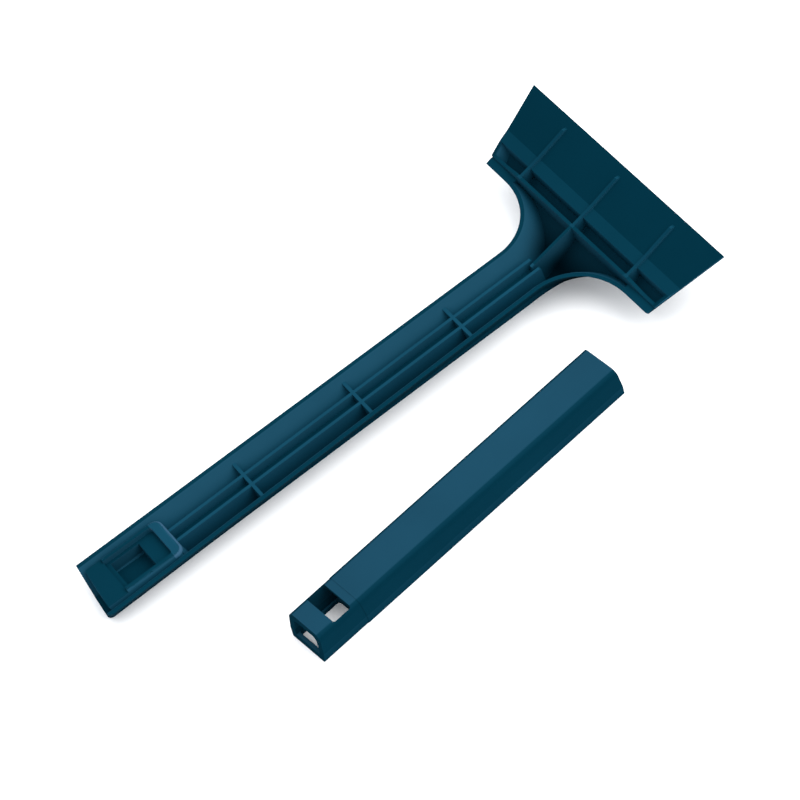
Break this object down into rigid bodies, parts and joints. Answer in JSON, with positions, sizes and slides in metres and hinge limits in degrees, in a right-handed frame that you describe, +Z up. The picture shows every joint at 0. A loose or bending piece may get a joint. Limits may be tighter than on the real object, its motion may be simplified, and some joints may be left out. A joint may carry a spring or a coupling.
{
  "type": "windshield ice scraper",
  "caption": "Moulded windshield ice scraper with a wide ribbed head and open-channel handle, lying beside its loose hollow extension tube.",
  "frame": {"origin": "on the surface the pair lies on, under the centre of the box round both pieces", "axes": "+X along the handle from its end to the blade, +Y across the head away from the tube, +Z up with the scraper's ribs facing up"},
  "size_m": [0.2302, 0.1278, 0.0251],
  "materials": {
    "scraper_plastic": "satin petrol-blue injection-moulded polypropylene, fine grain",
    "tube_plastic": "satin petrol-blue injection-moulded polypropylene, fine grain"
  },
  "bodies": {
    "scraper_body": {"scraper": "scraper_plastic"},
    "tube_body": {"extension_tube": "tube_plastic"}
  },
  "joints": [
    {"name": "tube_lift", "type": "slide", "parent": "scraper_body", "child": "tube_body", "axis": [0, 0, 1], "range_m": [0, 0.08]}
  ]
}
